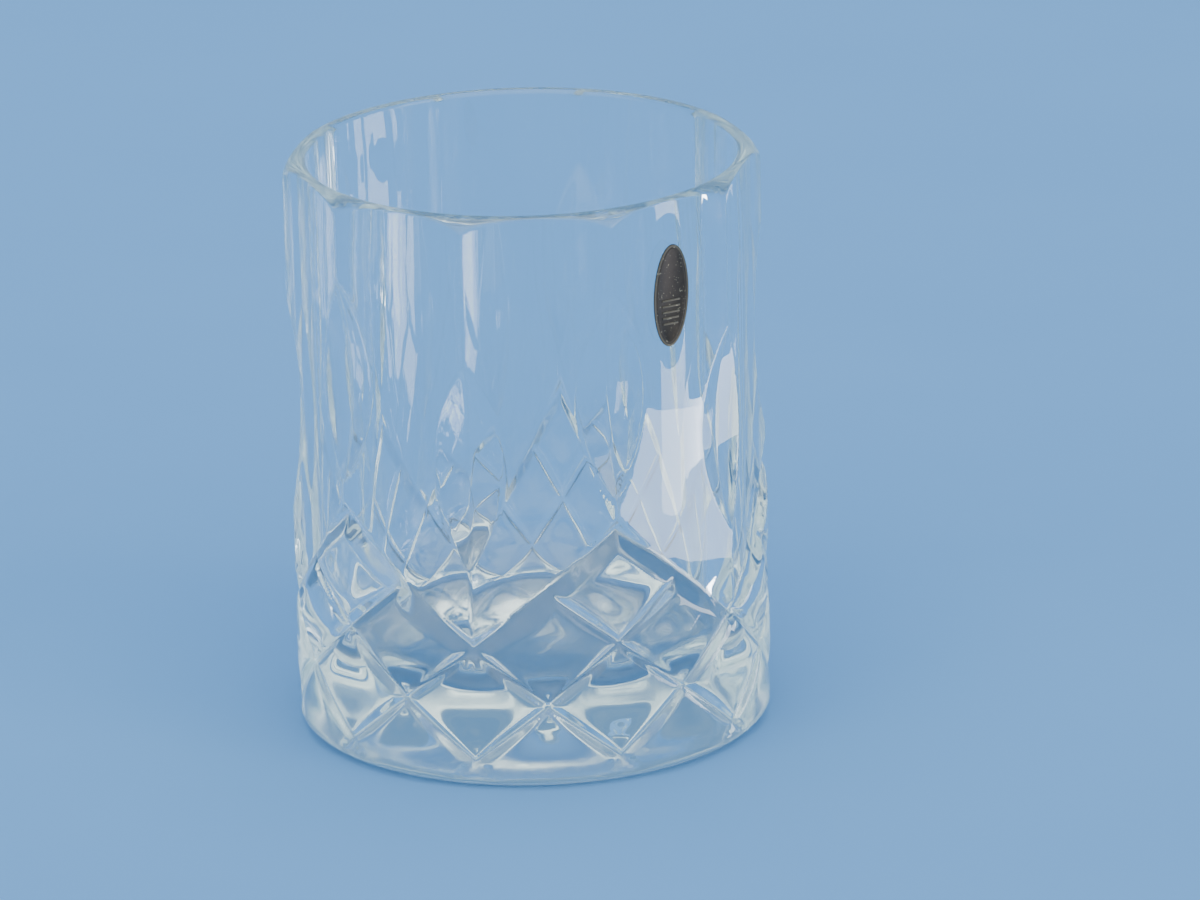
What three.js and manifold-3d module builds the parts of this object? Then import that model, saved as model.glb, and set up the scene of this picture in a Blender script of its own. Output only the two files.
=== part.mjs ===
// Cut-glass whiskey tumbler with a small foil label, standing upright. Millimetres, +Z up.
// The origin is the centre of the foot, where the glass touches the table.
// The panel that carries the label faces -Y; angles are counted from -Y towards +X.

import * as THREE from 'three';
import { mergeVertices } from 'three/addons/utils/BufferGeometryUtils.js';
import Module from 'manifold-3d';

const wasm = await Module();
wasm.setup();

// ---- overall sizes ----
const HEIGHT = 99;
const RIDGE_RADIUS = 40;          // over the ten upright ridges
const CUSHION_STANDOUT = 0.4;     // the cut band stands this much proud of the ridges
const PANELS = 10;
const HEEL_RADIUS = 4;

// ---- inside of the cup ----
const RIM_WALL = 2.05;            // at the middle of a panel
const WALL_TAPER = 1.6;           // the bore narrows by this much on the radius, rim to floor
const FLOOR_THICKNESS = 14;
const BORE_CORNER = 9;
const RIM_ROUND_IN = 0.39 * RIM_WALL;
const RIM_ROUND_OUT = 0.53 * RIM_WALL;

// ---- foot ----
const FOOT_DISH_RADIUS = 0.675 * RIDGE_RADIUS;
const FOOT_DISH_DEPTH = 1.6;

// ---- upright leaf cuts on the ridges ----
const LEAF_LENGTH = 0.37 * HEIGHT;
const LEAF_DEPTH = 3;
const LEAF_HALF_WIDTH = 0.1475 * RIDGE_RADIUS;
const HIGH_LEAF_MIDDLE = 0.68 * HEIGHT;
const LOW_LEAF_MIDDLE = 0.57 * HEIGHT;

// ---- diamond band ----
const BAND_TOP = 0.4525 * HEIGHT; // where the grooves meet under a high leaf
const BAND_DROP = 0.1015 * HEIGHT; // fall of a groove over half a panel
const GROOVE_DEPTH = 1.7;
const GROOVE_HALF_WIDTH = 1.6;
const GROOVE_OVERRUN = 0.8;       // run-out past the first and the last crossing

// ---- foil label and the glue under it ----
const LABEL_WIDTH = 7.4;
const LABEL_LENGTH = 17.4;
const LABEL_DROP = 16.5;          // from the rim to the middle of the label
const LABEL_TILT = 3;             // degrees, top leaning to the right
const FOIL_THICKNESS = 0.12;
const GLUE_THICKNESS = 0.08;
const GLUE_INSET = 0.25;          // the glue stops short of the foil edge

// ---- roundness of the turned shapes ----
const ROUND_STEPS = 80;
const WHEEL_STEPS = 96;
const GROOVE_STEP = 4;

// ---- sizes that follow from the ones above ----
const PANEL_ANGLE = 2 * Math.PI / PANELS;
const HALF_PANEL = PANEL_ANGLE / 2;
const APOTHEM = RIDGE_RADIUS * Math.cos(HALF_PANEL);
const PANEL_HALF_WIDTH = RIDGE_RADIUS * Math.sin(HALF_PANEL);
const BAND_RADIUS = RIDGE_RADIUS + CUSHION_STANDOUT;
const RIM_BORE = APOTHEM - RIM_WALL;
const FLOOR_BORE = RIM_BORE - WALL_TAPER;
const RIDGE_SLOPE = Math.tan(HALF_PANEL);
const WHEEL_RADIUS = LEAF_LENGTH ** 2 / (8 * LEAF_DEPTH);
const WHEEL_FLANK = LEAF_DEPTH / LEAF_HALF_WIDTH - RIDGE_SLOPE;
const LABEL_MIDDLE = HEIGHT - LABEL_DROP;
const OVERCUT = 3;                // how far a cutting shape reaches past what it cuts
const RELIEF_LAP = 0.25;          // the reliefs of two panels lap by this at their ridge

// A closed three.js shape as a manifold solid.
function solid(geometry) {
  geometry.deleteAttribute('normal');
  geometry.deleteAttribute('uv');
  const welded = mergeVertices(geometry, 1e-5);
  return new wasm.Manifold(new wasm.Mesh({
    numProp: 3,
    vertProperties: new Float32Array(welded.attributes.position.array),
    triVerts: new Uint32Array(welded.index.array),
  }));
}

// A profile of [radius, height] points turned about the Z axis.
function turned(profile, steps = ROUND_STEPS, start = 0) {
  const points = profile.map(([radius, height]) => new THREE.Vector2(radius, height));
  return new THREE.LatheGeometry(points, steps, start).rotateX(Math.PI / 2);
}

// Points on an arc, from one angle to another, both in degrees.
function arc(centreX, centreY, radius, from, to, steps) {
  const points = [];
  for (let i = 0; i <= steps; i += 1) {
    const angle = THREE.MathUtils.degToRad(from + (to - from) * i / steps);
    points.push([centreX + radius * Math.cos(angle), centreY + radius * Math.sin(angle)]);
  }
  return points;
}

// The round lower body with its heel, as it comes out of the mould.
function roundBody() {
  return solid(turned([
    [0, 0],
    ...arc(BAND_RADIUS - HEEL_RADIUS, HEEL_RADIUS, HEEL_RADIUS, -90, 0, 5),
    [BAND_RADIUS, BAND_TOP + OVERCUT],
    [0, BAND_TOP + OVERCUT],
  ]));
}

// The ten-sided upper body with its rounded rim.
function panelBody() {
  const low = FLOOR_THICKNESS / 2;
  return solid(turned([
    [0, low],
    [RIDGE_RADIUS, low],
    ...arc(RIDGE_RADIUS - RIM_ROUND_OUT, HEIGHT - RIM_ROUND_OUT, RIM_ROUND_OUT, 0, 90, 4),
    [0, HEIGHT],
  ], PANELS, HALF_PANEL));
}

// What is taken off the round body above the top grooves, over one panel.
// The lower edge falls from a high ridge on one side to a low ridge on the other.
function panelRelief(index) {
  const halfWidth = PANEL_HALF_WIDTH + RELIEF_LAP;
  const fall = BAND_DROP * halfWidth / PANEL_HALF_WIDTH;
  const middle = BAND_TOP - BAND_DROP;
  const side = index % 2 === 0 ? 1 : -1;
  const outline = new THREE.Shape();
  outline.moveTo(-halfWidth, middle + side * fall);
  outline.lineTo(halfWidth, middle - side * fall);
  outline.lineTo(halfWidth, BAND_TOP + 2 * OVERCUT);
  outline.lineTo(-halfWidth, BAND_TOP + 2 * OVERCUT);
  outline.closePath();
  const slab = new THREE.ExtrudeGeometry(outline, { depth: OVERCUT + 2, bevelEnabled: false });
  slab.rotateX(Math.PI / 2);
  slab.translate(0, -APOTHEM, 0);
  slab.rotateZ(index * PANEL_ANGLE);
  return solid(slab);
}

// The inside of the cup: a tapered bore with a rounded floor corner and a rounded lip.
function bore() {
  const lip = RIM_BORE + RIM_ROUND_IN;
  return solid(turned([
    [0, FLOOR_THICKNESS],
    ...arc(FLOOR_BORE - BORE_CORNER, FLOOR_THICKNESS + BORE_CORNER, BORE_CORNER, -90, 0, 6),
    ...arc(lip, HEIGHT - RIM_ROUND_IN, RIM_ROUND_IN, 180, 90, 3),
    [lip, HEIGHT + OVERCUT],
    [0, HEIGHT + OVERCUT],
  ]));
}

// The shallow dish ground into the foot, so that the glass stands on a ring.
function footDish() {
  const radius = (FOOT_DISH_RADIUS ** 2 + FOOT_DISH_DEPTH ** 2) / (2 * FOOT_DISH_DEPTH);
  const profile = [[0, -OVERCUT], [FOOT_DISH_RADIUS, -OVERCUT]];
  for (let i = 0; i <= 4; i += 1) {
    const out = FOOT_DISH_RADIUS * (1 - i / 4);
    profile.push([out, FOOT_DISH_DEPTH - radius + Math.sqrt(radius ** 2 - out ** 2)]);
  }
  return solid(turned(profile));
}

// One leaf cut: a wheel with a blunt V edge pressed into a ridge.
function leafCut(angle, middle) {
  const halfHub = WHEEL_RADIUS / WHEEL_FLANK;
  const wheel = new THREE.LatheGeometry([
    new THREE.Vector2(0, -halfHub),
    new THREE.Vector2(WHEEL_RADIUS, 0),
    new THREE.Vector2(0, halfHub),
  ], WHEEL_STEPS);
  wheel.rotateZ(Math.PI / 2);
  wheel.translate(0, -(RIDGE_RADIUS - LEAF_DEPTH + WHEEL_RADIUS), middle);
  wheel.rotateZ(angle);
  return solid(wheel);
}

// One V groove wrapped round the body. It starts at an angle and a height, and falls
// over a number of half panels to the right (turn = 1) or to the left (turn = -1).
function groove(startAngle, startHeight, halfPanels, turn) {
  const run = BAND_RADIUS * HALF_PANEL * halfPanels;
  const length = Math.hypot(run, BAND_DROP * halfPanels) + 2 * GROOVE_OVERRUN;
  const along = new THREE.Vector2(run * turn, -BAND_DROP * halfPanels).normalize();
  const flare = 1 + OVERCUT / GROOVE_DEPTH;
  const section = new THREE.Shape();
  section.moveTo(0, -GROOVE_DEPTH);
  section.lineTo(GROOVE_HALF_WIDTH * flare, OVERCUT);
  section.lineTo(-GROOVE_HALF_WIDTH * flare, OVERCUT);
  section.closePath();
  const bar = new THREE.ExtrudeGeometry(section, {
    depth: length,
    steps: Math.ceil(length / GROOVE_STEP),
    bevelEnabled: false,
  });
  const place = bar.attributes.position;
  for (let i = 0; i < place.count; i += 1) {
    const across = place.getX(i);
    const radius = BAND_RADIUS + place.getY(i);
    const distance = place.getZ(i) - GROOVE_OVERRUN;
    const angle = startAngle + (along.x * distance - along.y * across) / BAND_RADIUS;
    const height = startHeight + along.y * distance + along.x * across;
    place.setXYZ(i, radius * Math.sin(angle), -radius * Math.cos(angle), height);
  }
  return solid(bar);
}

// All grooves of the band. From every high ridge one long groove falls each way; a short
// one starts on each top groove and runs beside it, so the band breaks into diamonds.
function grooves() {
  const cuts = [];
  for (let ridge = 0; ridge < PANELS / 2; ridge += 1) {
    const high = (2 * ridge - 0.5) * PANEL_ANGLE;
    for (const turn of [1, -1]) {
      cuts.push(groove(high, BAND_TOP, 4, turn));
      cuts.push(groove(high - turn * HALF_PANEL, BAND_TOP - BAND_DROP, 3, turn));
    }
  }
  return cuts;
}

function glassBody() {
  let lower = roundBody();
  for (let index = 0; index < PANELS; index += 1) {
    lower = lower.subtract(panelRelief(index));
  }
  let glass = lower.add(panelBody());
  for (let ridge = 0; ridge < PANELS; ridge += 1) {
    const middle = ridge % 2 === 0 ? HIGH_LEAF_MIDDLE : LOW_LEAF_MIDDLE;
    glass = glass.subtract(leafCut((ridge - 0.5) * PANEL_ANGLE, middle));
  }
  for (const cut of grooves()) {
    glass = glass.subtract(cut);
  }
  return glass.subtract(bore()).subtract(footDish());
}

// An oval sheet lying on the label panel, between two depths outside it.
function ovalSheet(width, length, from, thickness) {
  const outline = new THREE.Shape();
  outline.absellipse(0, 0, width / 2, length / 2, 0, 2 * Math.PI, false, 0);
  const sheet = new THREE.ExtrudeGeometry(outline, {
    depth: thickness,
    curveSegments: 24,
    bevelEnabled: false,
  });
  sheet.rotateZ(-THREE.MathUtils.degToRad(LABEL_TILT));
  sheet.rotateX(Math.PI / 2);
  sheet.translate(0, -APOTHEM - from, LABEL_MIDDLE);
  return solid(sheet);
}

function addPiece(group, name, shape, look) {
  const mesh = shape.getMesh();
  const geometry = new THREE.BufferGeometry();
  geometry.setAttribute('position', new THREE.BufferAttribute(mesh.vertProperties, 3));
  geometry.setIndex(new THREE.BufferAttribute(mesh.triVerts, 1));
  geometry.computeVertexNormals();
  const piece = new THREE.Mesh(geometry, new THREE.MeshStandardMaterial(look));
  piece.name = name;
  group.add(piece);
}

const group = new THREE.Group();
group.name = 'whiskey_tumbler';

addPiece(group, 'glass_body', glassBody(), {
  color: 0xdfe9ea, roughness: 0.04, metalness: 0, transparent: true, opacity: 0.45,
});
addPiece(group, 'label_glue', ovalSheet(
  LABEL_WIDTH - 2 * GLUE_INSET, LABEL_LENGTH - 2 * GLUE_INSET, 0, GLUE_THICKNESS,
), { color: 0xcfc9ae, roughness: 0.5, metalness: 0 });
addPiece(group, 'label_foil', ovalSheet(
  LABEL_WIDTH, LABEL_LENGTH, GLUE_THICKNESS, FOIL_THICKNESS,
), { color: 0x5b564c, roughness: 0.34, metalness: 0.9 });

export default group;
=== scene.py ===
import math

import bpy
import numpy as np
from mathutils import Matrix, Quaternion, Vector


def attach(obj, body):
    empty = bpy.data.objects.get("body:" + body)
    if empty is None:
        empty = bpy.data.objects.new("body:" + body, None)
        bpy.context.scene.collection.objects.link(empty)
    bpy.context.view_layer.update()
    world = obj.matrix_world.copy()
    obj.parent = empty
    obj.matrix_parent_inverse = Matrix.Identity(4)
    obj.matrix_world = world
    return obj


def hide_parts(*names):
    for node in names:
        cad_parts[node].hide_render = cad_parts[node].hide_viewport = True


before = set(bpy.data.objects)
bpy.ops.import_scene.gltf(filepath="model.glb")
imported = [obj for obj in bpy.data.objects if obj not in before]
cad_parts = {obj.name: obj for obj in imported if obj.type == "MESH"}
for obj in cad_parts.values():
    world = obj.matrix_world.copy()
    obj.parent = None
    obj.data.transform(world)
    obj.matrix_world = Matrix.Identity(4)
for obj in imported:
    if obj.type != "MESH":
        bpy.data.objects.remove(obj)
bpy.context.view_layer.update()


# The viewpoint: a little above the rim, looking at the ridge left of the label.
LOOK_AZIMUTH = math.radians(-39.0)
LOOK_ELEVATION = math.radians(18.5)
LOOK_DISTANCE = 1.600
LOOK_LEAN = math.radians(1.5)
LOOK_AT = Vector((0.0, 0.0, 0.0485))
towards_viewer = Vector((
    math.sin(LOOK_AZIMUTH) * math.cos(LOOK_ELEVATION),
    -math.cos(LOOK_AZIMUTH) * math.cos(LOOK_ELEVATION),
    math.sin(LOOK_ELEVATION),
))
camera_data = bpy.data.cameras.new("view")
camera_data.sensor_width = 36.0
camera_data.lens = 285.0
camera_data.shift_x = 0.0595
camera_data.shift_y = -0.010
camera = bpy.data.objects.new("view", camera_data)
bpy.context.scene.collection.objects.link(camera)
bpy.context.scene.camera = camera
camera.location = LOOK_AT + towards_viewer * LOOK_DISTANCE
camera.rotation_mode = "QUATERNION"
level = (-towards_viewer).to_track_quat("-Z", "Y")
camera.rotation_quaternion = level @ Quaternion((0.0, 0.0, 1.0), -LOOK_LEAN)


# The glass: one thick piece of clear crystal, pressed in a mould and fire-polished.
# Ten flat panels stand above a band of crossed V grooves that leave swelling
# diamonds. A leaf is cut on each ridge, and the foot has a shallow dish.
MM = 0.001
HEIGHT = 99.0
RIDGE_RADIUS = 40.0
BAND_RADIUS = 40.4
HEEL_RADIUS = 4.0
RIM_BORE = 35.99
FLOOR_BORE = 34.39
FLOOR_THICKNESS = 14.0
FLOOR_CORNER = 9.0
LIP_IN = 0.80
DISH_RADIUS, DISH_DEPTH = 27.0, 1.6
BAND_TOP = 0.4525 * HEIGHT
BAND_DROP = 0.1015 * HEIGHT
TURN_STEPS = 480
BAND_ROWS = 24
HALF_PANEL = 18.0
APOTHEM = RIDGE_RADIUS * math.cos(math.radians(HALF_PANEL))


def arc(centre, radius, start, end, steps):
    """Points on an arc of the wall's outline, angles in degrees."""
    turns = np.radians(np.linspace(start, end, steps + 1))
    return [(centre[0] + radius * math.cos(t), centre[1] + radius * math.sin(t)) for t in turns]


dish_curve = (DISH_RADIUS ** 2 + DISH_DEPTH ** 2) / (2 * DISH_DEPTH)
foot = [
    (out, DISH_DEPTH - dish_curve + math.sqrt(dish_curve ** 2 - out ** 2))
    for out in np.linspace(0.0, DISH_RADIUS, 8)
]
heel = arc((BAND_RADIUS - HEEL_RADIUS, HEEL_RADIUS), HEEL_RADIUS, -90, 0, 8)
band_foot = BAND_TOP - 4 * BAND_DROP
band = [(BAND_RADIUS, z) for z in np.linspace(band_foot, BAND_TOP, 4 * BAND_ROWS + 1)]
panels = [(BAND_RADIUS, z) for z in np.linspace(BAND_TOP, HEIGHT - 2.4, 54)[1:]]
lip_out = [(BAND_RADIUS, HEIGHT - drop) for drop in (1.9, 1.4, 1.0, 0.65, 0.35, 0.15, 0.04, 0.0)]
lip_in = arc((RIM_BORE + LIP_IN, HEIGHT - LIP_IN), LIP_IN, 90, 180, 4)
bore_top = HEIGHT - LIP_IN
bore_foot = FLOOR_THICKNESS + FLOOR_CORNER
bore = [
    (RIM_BORE + (FLOOR_BORE - RIM_BORE) * k / 7, bore_top + (bore_foot - bore_top) * k / 7)
    for k in range(1, 7)
]
floor_corner = arc(
    (FLOOR_BORE - FLOOR_CORNER, FLOOR_THICKNESS + FLOOR_CORNER), FLOOR_CORNER, 0, -90, 10
)
floor = [(out, FLOOR_THICKNESS) for out in np.linspace(FLOOR_BORE - FLOOR_CORNER, 0.0, 5)[1:]]
wall = foot + heel + band + panels + lip_out + lip_in + bore + floor_corner + floor
outer_first = len(foot)
outer_last = len(foot + heel + band + panels + lip_out) - 1

bpy.ops.object.select_all(action="DESELECT")
bpy.ops.mesh.primitive_circle_add(vertices=len(wall), radius=BAND_RADIUS * MM)
glass = bpy.context.object
glass.name = "tumbler_glass"
outline = np.array([(out * MM, 0.0, z * MM) for out, z in wall])
glass.data.vertices.foreach_set("co", outline.ravel())
row_mark = glass.data.attributes.new("row", "INT", "POINT")
row_mark.data.foreach_set("value", np.arange(len(wall), dtype=np.int32))
closing = [0, len(wall) - 1]
bpy.ops.object.mode_set(mode="EDIT")
bpy.ops.mesh.select_mode(type="EDGE")
bpy.ops.mesh.select_all(action="DESELECT")
bpy.ops.object.mode_set(mode="OBJECT")
glass.data.edges.foreach_set("select", [sorted(e.vertices) == closing for e in glass.data.edges])
bpy.ops.object.mode_set(mode="EDIT")
bpy.ops.mesh.delete(type="EDGE")
bpy.ops.mesh.select_mode(type="VERT")
bpy.ops.mesh.select_all(action="SELECT")
bpy.ops.mesh.spin(steps=TURN_STEPS, angle=2 * math.pi, center=(0, 0, 0), axis=(0, 0, 1))
bpy.ops.mesh.select_all(action="SELECT")
bpy.ops.mesh.remove_doubles(threshold=0.002 * MM)
bpy.ops.object.mode_set(mode="OBJECT")

# The pattern is pressed into the outside of the turned blank.
LEAF_LENGTH, LEAF_DEPTH, LEAF_HALF_WIDTH = 0.37 * HEIGHT, 3.0, 5.9
HIGH_LEAF, LOW_LEAF = 0.68 * HEIGHT, 0.57 * HEIGHT
GROOVE_FLOOR, GROOVE_SLOPE = 38.85, 0.95
BEVEL_FLOOR, BEVEL_SLOPE = 38.45, 0.55
CUSHION_SWELL = 0.80
EDGE_SOFTNESS = 0.20
RIM_EDGE, RIM_TURN = 37.2, 3.6
wheel = LEAF_LENGTH ** 2 / (8 * LEAF_DEPTH)
flank = LEAF_DEPTH / LEAF_HALF_WIDTH - math.tan(math.radians(HALF_PANEL))
groove_pitch = BAND_DROP * math.cos(
    math.atan2(BAND_DROP, BAND_RADIUS * math.radians(HALF_PANEL))
)


def soft_lower(a, b, softness):
    """The lower of two surfaces, with their meeting edge rounded."""
    near = np.clip(0.5 + 0.5 * (b - a) / softness, 0.0, 1.0)
    return b + (a - b) * near - softness * near * (1.0 - near)


def leaf(angle, height, ridge_angle, middle):
    """A leaf cut by the blunt V edge of a wheel, on one set of ridges 72 degrees apart."""
    beside = np.radians((angle - ridge_angle + 36.0) % 72.0 - 36.0)
    sink = wheel - np.sqrt(np.maximum(wheel ** 2 - (height - middle) ** 2, 1.0))
    crease = RIDGE_RADIUS - LEAF_DEPTH + sink
    spread = np.cos(beside) - flank * np.sqrt(np.sin(beside) ** 2 + 0.004 ** 2)
    cut = crease / np.maximum(spread, 0.2)
    return np.where(np.abs(beside) < np.radians(20.0), cut, 99.0)


def pressed(angle, height):
    """Radius of the finished outside at an angle and a height."""
    beside_high = (angle + HALF_PANEL + 36.0) % 72.0 - 36.0
    in_panel = (angle + HALF_PANEL) % 36.0 - HALF_PANEL
    panel = APOTHEM / np.cos(np.radians(in_panel))
    down = (BAND_TOP - height) / BAND_DROP
    left = down - beside_high / HALF_PANEL
    right = down + beside_high / HALF_PANEL
    under_zigzag = np.minimum(left, right)
    in_band = under_zigzag > -1e-6
    swell = 1.0
    crossing = 9.0
    for across in (left, right):
        to_line = np.abs(across - 2 * np.round(across / 2))
        swell = swell * (1 - (1 - to_line) ** 2)
        crossing = np.minimum(crossing, np.abs(across - 2 * np.maximum(np.round(across / 2), 1)))
    cushion = BAND_RADIUS - CUSHION_SWELL * (1 - swell)
    fade = np.clip((height - 0.4) / 4.4, 0.0, 1.0)
    away = np.hypot(crossing * groove_pitch, 0.10) - 0.10
    groove = GROOVE_FLOOR + 1.6 * (1 - fade) ** 2 + GROOVE_SLOPE * away
    away = np.hypot(under_zigzag * groove_pitch, 0.10) - 0.10
    bevel = np.minimum(BEVEL_FLOOR, panel) + np.where(in_band, BEVEL_SLOPE, 1.2) * away
    groove = np.where(in_band, soft_lower(groove, bevel, 0.2), bevel)
    side = np.where(in_band, cushion, panel)
    side = soft_lower(side, groove, EDGE_SOFTNESS)
    side = soft_lower(side, leaf(angle, height, -HALF_PANEL, HIGH_LEAF), 0.06)
    side = soft_lower(side, leaf(angle, height, HALF_PANEL, LOW_LEAF), 0.06)
    below_rim = np.clip(HEIGHT - height, 0.0, RIM_TURN)
    turned = RIM_EDGE + RIM_TURN * np.sqrt(1 - (1 - below_rim / RIM_TURN) ** 2) * 0.8
    return soft_lower(side, turned, 0.15)


count = len(glass.data.vertices)
place = np.empty(count * 3)
glass.data.vertices.foreach_get("co", place)
place = place.reshape(-1, 3) / MM
row = np.empty(count, np.int32)
glass.data.attributes["row"].data.foreach_get("value", row)
blank = np.hypot(place[:, 0], place[:, 1])
angle = np.degrees(np.arctan2(place[:, 0], -place[:, 1]))
finished = pressed(angle, place[:, 2])
outside = (row >= outer_first) & (row <= outer_last)
reached = np.minimum(finished, blank)
scale = np.where(outside, reached / np.maximum(blank, 1e-9), 1.0)
place[:, 0] *= scale
place[:, 1] *= scale
glass.data.vertices.foreach_set("co", (place * MM).ravel())

# Each four-sided cell is split along the groove nearest to it.
cells = len(glass.data.polygons)
middle = np.empty(cells * 3)
glass.data.polygons.foreach_get("center", middle)
middle = middle.reshape(-1, 3) / MM
cell_angle = np.degrees(np.arctan2(middle[:, 0], -middle[:, 1]))
beside_high = (cell_angle + HALF_PANEL + 36.0) % 72.0 - 36.0
down = (BAND_TOP - middle[:, 2]) / BAND_DROP
left = down - beside_high / HALF_PANEL
right = down + beside_high / HALF_PANEL
nearer_left = np.abs(left - 2 * np.round(left / 2)) < np.abs(right - 2 * np.round(right / 2))
bpy.ops.object.mode_set(mode="EDIT")
bpy.ops.mesh.select_mode(type="FACE")
bpy.ops.mesh.select_all(action="DESELECT")
bpy.ops.object.mode_set(mode="OBJECT")
glass.data.polygons.foreach_set("select", nearer_left)
bpy.ops.object.mode_set(mode="EDIT")
bpy.ops.mesh.quads_convert_to_tris(quad_method="FIXED")
bpy.ops.mesh.select_all(action="SELECT")
bpy.ops.mesh.quads_convert_to_tris(quad_method="FIXED_ALTERNATE")
bpy.ops.mesh.select_all(action="SELECT")
bpy.ops.mesh.normals_make_consistent(inside=False)
bpy.ops.object.mode_set(mode="OBJECT")
bpy.ops.object.shade_smooth()


class Wire:
    """One output of a shader node. Sums written with it add Math nodes."""

    def __init__(self, output):
        self.output = output

    def feed(self, node, sockets):
        for name, value in sockets.items():
            if isinstance(value, Wire):
                node.id_data.links.new(value.output, node.inputs[name])
            else:
                node.inputs[name].default_value = value

    def node(self, kind, sockets, settings=None, out=0):
        made = self.output.id_data.nodes.new("ShaderNode" + kind)
        for name, value in (settings or {}).items():
            setattr(made, name, value)
        self.feed(made, sockets)
        return Wire(made.outputs[out])

    def sum(self, operation, first, second):
        return self.node("Math", {0: first, 1: second}, {"operation": operation})

    def __add__(self, other):
        return self.sum("ADD", self, other)

    def __radd__(self, other):
        return self.sum("ADD", other, self)

    def __sub__(self, other):
        return self.sum("SUBTRACT", self, other)

    def __rsub__(self, other):
        return self.sum("SUBTRACT", other, self)

    def __mul__(self, other):
        return self.sum("MULTIPLY", self, other)

    def __rmul__(self, other):
        return self.sum("MULTIPLY", other, self)


def blend_colours(mask, first, second):
    """The first colour where the mask is 0, the second where it is 1."""
    return mask.node("Mix", {0: mask, 6: first, 7: second}, {"data_type": "RGBA"}, out=2)


def new_finish(name):
    """A new material, its shader, and the places on the piece that it is put on."""
    material = bpy.data.materials.new(name)
    material.use_nodes = True
    nodes = material.node_tree.nodes
    places = nodes.new("ShaderNodeTexCoord").outputs["Object"]
    return material, nodes["Principled BSDF"], Wire(places)


crystal, shader, spot = new_finish("crystal")
height = spot.node("SeparateXYZ", {0: spot}, out=2)
waves = spot.node("TexNoise", {"Vector": spot, "Scale": 95.0, "Detail": 1.5})
smears = spot.node("TexNoise", {"Vector": spot, "Scale": 34.0, "Detail": 4.0, "Distortion": 1.2})
scratches = spot.node("TexNoise", {"Vector": spot, "Scale": 900.0, "Detail": 3.0})
foot_wear = spot.node("MapRange", {
    "Value": height, "From Min": 0.0002, "From Max": 0.0016, "To Min": 1.0, "To Max": 0.0,
})
spot.feed(shader, {
    "Base Color": (0.990, 0.998, 0.994, 1.0),
    "Transmission Weight": 1.0,
    "IOR": 1.52,
    "Roughness": smears * 0.03 - 0.008 + foot_wear * scratches * 0.22,
    "Normal": spot.node("Bump", {"Height": waves, "Strength": 0.10, "Distance": 0.0006}),
})
tint = crystal.node_tree.nodes.new("ShaderNodeVolumeAbsorption")
spot.feed(tint, {"Color": (0.72, 0.93, 0.86, 1.0), "Density": 4.0})
crystal.node_tree.links.new(
    tint.outputs["Volume"], crystal.node_tree.nodes["Material Output"].inputs["Volume"]
)
glass.data.materials.append(crystal)
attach(glass, "root")
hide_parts("glass_body")


# The glue: a thin clear-drying film between the label and its panel, put on with the
# label and pressed out to a slightly smaller oval. It has yellowed a little.
glue, shader, spot = new_finish("label_glue")
streaks = spot.node("TexNoise", {"Vector": spot, "Scale": 700.0, "Detail": 3.0})
bubbles = spot.node("TexVoronoi", {"Vector": spot, "Scale": 1500.0})
spot.feed(shader, {
    "Base Color": blend_colours(streaks, (0.62, 0.56, 0.38, 1.0), (0.80, 0.77, 0.62, 1.0)),
    "Roughness": 0.35 + streaks * 0.3,
    "Normal": spot.node("Bump", {"Height": bubbles, "Strength": 0.3, "Distance": 0.00005}),
})
glue_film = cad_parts["label_glue"]
for slot_place in glue_film.material_slots:
    slot_place.material = glue


# The label: an oval of dark bronze foil, stamped with a plain raised border and a few
# level ribs, and stuck on the panel that faces front.
LABEL_WIDTH, LABEL_LENGTH = 7.4, 17.4
LABEL_MIDDLE = HEIGHT - 16.5
LABEL_TILT = math.radians(3.0)
FOIL_BACK, FOIL_THICKNESS = APOTHEM + 0.08, 0.12
RIB_HEIGHTS = (-4.8, -3.8, -2.8, -1.8, -0.8)
RIB_THICKNESS, RIB_TALL, RIB_SUNK = 0.10, 0.36, 0.01


def onto_panel(up, out):
    """Leans the selected piece of the label and lays it on the panel."""
    bpy.ops.transform.translate(value=(0, 0, up * MM))
    bpy.ops.transform.rotate(
        value=-LABEL_TILT, orient_axis="Y", center_override=(0, 0, 0)
    )
    bpy.ops.transform.translate(value=(0, -out * MM, LABEL_MIDDLE * MM))


bpy.ops.object.select_all(action="DESELECT")
bpy.ops.mesh.primitive_circle_add(
    vertices=96, radius=1 * MM, fill_type="NGON", rotation=(math.pi / 2, 0, 0)
)
foil = bpy.context.object
foil.name = "label_foil_stamped"
bpy.ops.object.transform_apply(location=True, rotation=True, scale=True)
bpy.ops.object.mode_set(mode="EDIT")
bpy.ops.mesh.select_all(action="SELECT")
bpy.ops.transform.resize(value=(LABEL_WIDTH / 2, 1, LABEL_LENGTH / 2))
onto_panel(0.0, FOIL_BACK)
bpy.ops.mesh.extrude_region_move(
    TRANSFORM_OT_translate={"value": (0, -FOIL_THICKNESS * MM, 0)}
)
bpy.ops.mesh.inset(thickness=0.10 * MM, depth=0.03 * MM)
bpy.ops.mesh.inset(thickness=0.30 * MM, depth=0.0)
bpy.ops.mesh.inset(thickness=0.08 * MM, depth=-0.05 * MM)
bpy.ops.mesh.inset(thickness=0.16 * MM, depth=0.0)
bpy.ops.mesh.inset(thickness=0.06 * MM, depth=0.03 * MM)
bpy.ops.mesh.inset(thickness=0.10 * MM, depth=0.0)
bpy.ops.mesh.inset(thickness=0.06 * MM, depth=-0.03 * MM)
bpy.ops.mesh.select_all(action="SELECT")
bpy.ops.mesh.normals_make_consistent(inside=False)
bpy.ops.object.mode_set(mode="OBJECT")

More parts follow.
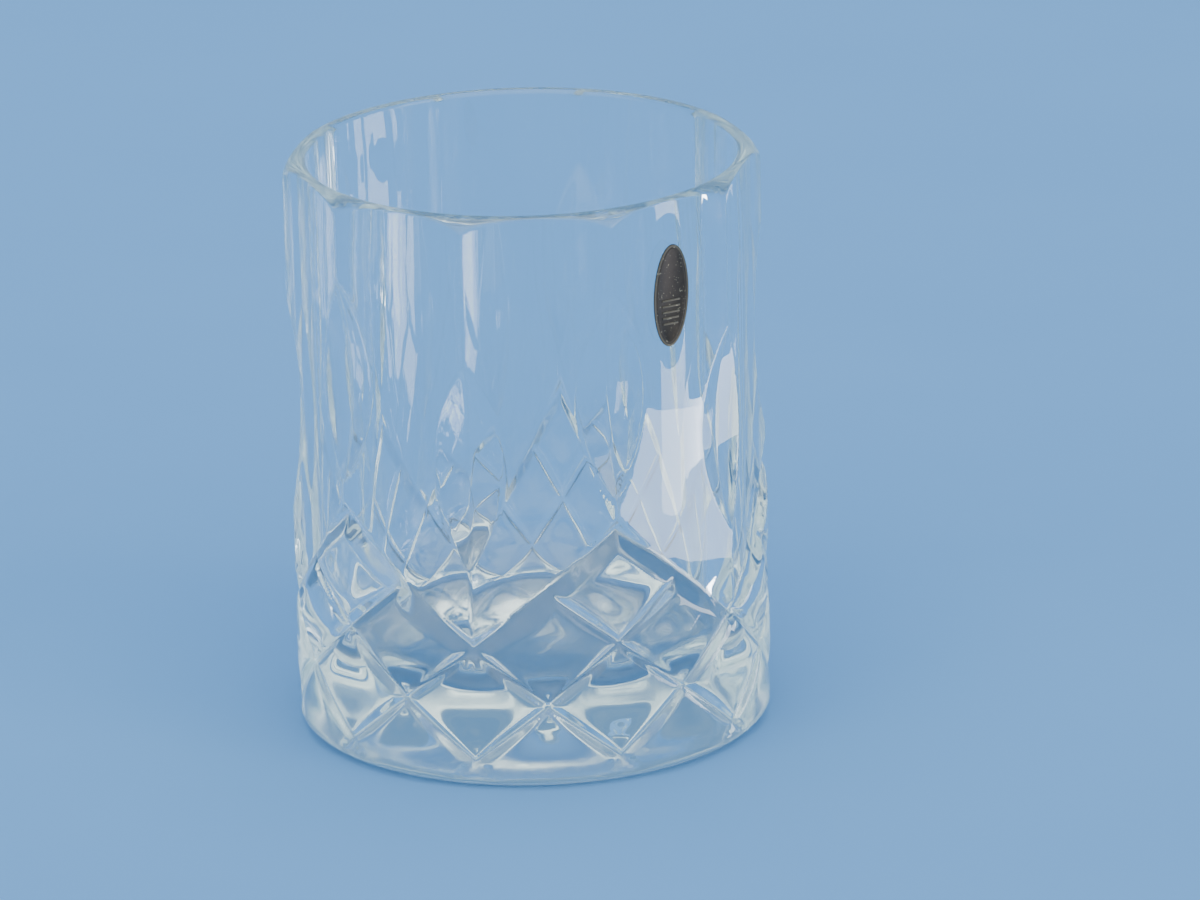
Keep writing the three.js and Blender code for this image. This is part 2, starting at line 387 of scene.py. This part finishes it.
stamped = [foil]
for up in RIB_HEIGHTS:
    width = 0.52 * LABEL_WIDTH * math.sqrt(1 - (2 * up / LABEL_LENGTH) ** 2)
    bpy.ops.object.select_all(action="DESELECT")
    bpy.ops.mesh.primitive_cube_add(size=1 * MM)
    rib = bpy.context.object
    bpy.ops.object.mode_set(mode="EDIT")
    bpy.ops.mesh.select_all(action="SELECT")
    bpy.ops.transform.resize(value=(width, RIB_THICKNESS, RIB_TALL))
    bpy.ops.mesh.bevel(offset=0.03 * MM, segments=2)
    onto_panel(up, FOIL_BACK + FOIL_THICKNESS - RIB_SUNK)
    bpy.ops.mesh.normals_make_consistent(inside=False)
    bpy.ops.object.mode_set(mode="OBJECT")
    stamped.append(rib)
bpy.ops.object.select_all(action="DESELECT")
for piece in stamped:
    piece.select_set(True)
bpy.context.view_layer.objects.active = foil
bpy.ops.object.join()
bpy.ops.object.shade_smooth_by_angle(angle=math.radians(35.0))

bronze, shader, spot = new_finish("bronze_foil")
blotches = spot.node("TexNoise", {"Vector": spot, "Scale": 420.0, "Detail": 4.0})
specks = spot.node("TexNoise", {"Vector": spot, "Scale": 2600.0, "Detail": 2.0})
bright = spot.node(
    "MapRange", {"Value": specks, "From Min": 0.66, "From Max": 0.76},
)
out_front = 0.0 - spot.node("SeparateXYZ", {0: spot}, out=1)
raised = spot.node("MapRange", {
    "Value": out_front,
    "From Min": (FOIL_BACK + FOIL_THICKNESS + 0.005) * MM,
    "From Max": (FOIL_BACK + FOIL_THICKNESS + 0.030) * MM,
})
ground = blend_colours(blotches, (0.020, 0.014, 0.010, 1.0), (0.085, 0.062, 0.045, 1.0))
ground = blend_colours(raised * 0.6, ground, (0.17, 0.135, 0.09, 1.0))
spot.feed(shader, {
    "Base Color": blend_colours(bright * 0.6, ground, (0.55, 0.46, 0.30, 1.0)),
    "Metallic": 0.75 + bright * 0.2,
    "Roughness": 0.38 + blotches * 0.25,
    "Normal": spot.node("Bump", {"Height": blotches, "Strength": 0.35, "Distance": 0.00008}),
})
foil.data.materials.clear()
foil.data.materials.append(bronze)
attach(foil, "root")
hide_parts("label_foil")


# The floor and the light: light blue paper under the foot and a blue backdrop behind,
# in a pale room with one wide soft window to the right. Thick cut glass passes light
# from face to face many times, so the light is followed further than usual.
LIGHT_BOUNCES = 32
FLOOR_GAP = 0.05
bpy.context.scene.cycles.max_bounces = LIGHT_BOUNCES
bpy.context.scene.cycles.transmission_bounces = LIGHT_BOUNCES
bpy.context.scene.cycles.glossy_bounces = LIGHT_BOUNCES
bpy.ops.object.select_all(action="DESELECT")
bpy.ops.mesh.primitive_plane_add(size=8.0, location=(0, 0, -FLOOR_GAP * MM))
paper_floor = bpy.context.object
paper_floor.name = "floor"
bpy.ops.object.transform_apply(location=True, rotation=True, scale=True)
paper, shader, spot = new_finish("floor_paper")
fibres = spot.node("TexNoise", {"Vector": spot, "Scale": 14.0, "Detail": 3.0})
spot.feed(shader, {
    "Base Color": blend_colours(fibres, (0.150, 0.350, 0.690, 1.0), (0.165, 0.375, 0.720, 1.0)),
    "Roughness": 0.9,
    "Specular IOR Level": 0.0,
})
paper_floor.data.materials.append(paper)

room = bpy.data.worlds.new("room")
bpy.context.scene.world = room
room.use_nodes = True
sky = Wire(room.node_tree.nodes.new("ShaderNodeTexCoord").outputs["Generated"])
split = sky.node("SeparateXYZ", {0: sky}).output.node
east, north, up = (Wire(split.outputs[k]) for k in range(3))
behind = east * 0.629 + north * 0.777
right = east * 0.777 - north * 0.629


def between(value, low, high):
    """0 under low, 1 over high, and smooth from one to the other."""
    return value.node(
        "MapRange", {"Value": value, "From Min": low, "From Max": high},
        {"interpolation_type": "SMOOTHSTEP"},
    )


walls = blend_colours(
    between(up, -0.10, 0.75), (0.85, 0.98, 1.02, 1.0), (2.3, 2.55, 2.5, 1.0)
)
window = between(right, 0.60, 0.72) * (1 - between(up, 0.45, 0.60))
walls = blend_colours(window, walls, (3.2, 3.5, 3.4, 1.0))
paper_behind = between(behind, -0.42, -0.22) * (1 - between(up, 0.80, 0.92))
colour = blend_colours(paper_behind, walls, (0.16, 0.345, 0.63, 1.0))
sky.feed(room.node_tree.nodes["Background"], {"Color": colour, "Strength": 1.0})

# A small white card stands just outside the view on the right. It is seen in the gloss
# of the glass and, from behind, straight through it.
card_light = bpy.data.lights.new("card", "AREA")
card_light.shape = "RECTANGLE"
card_light.size, card_light.size_y = 0.090, 0.030
card_light.energy = 0.07
card = bpy.data.objects.new("card", card_light)
bpy.context.scene.collection.objects.link(card)
card.location = (0.0923, -0.0975, 0.012)
card.rotation_mode = "QUATERNION"
card.rotation_quaternion = (Vector((0, 0, 0.030)) - card.location).to_track_quat("-Z", "Y")
card.visible_camera = False
card.visible_diffuse = False
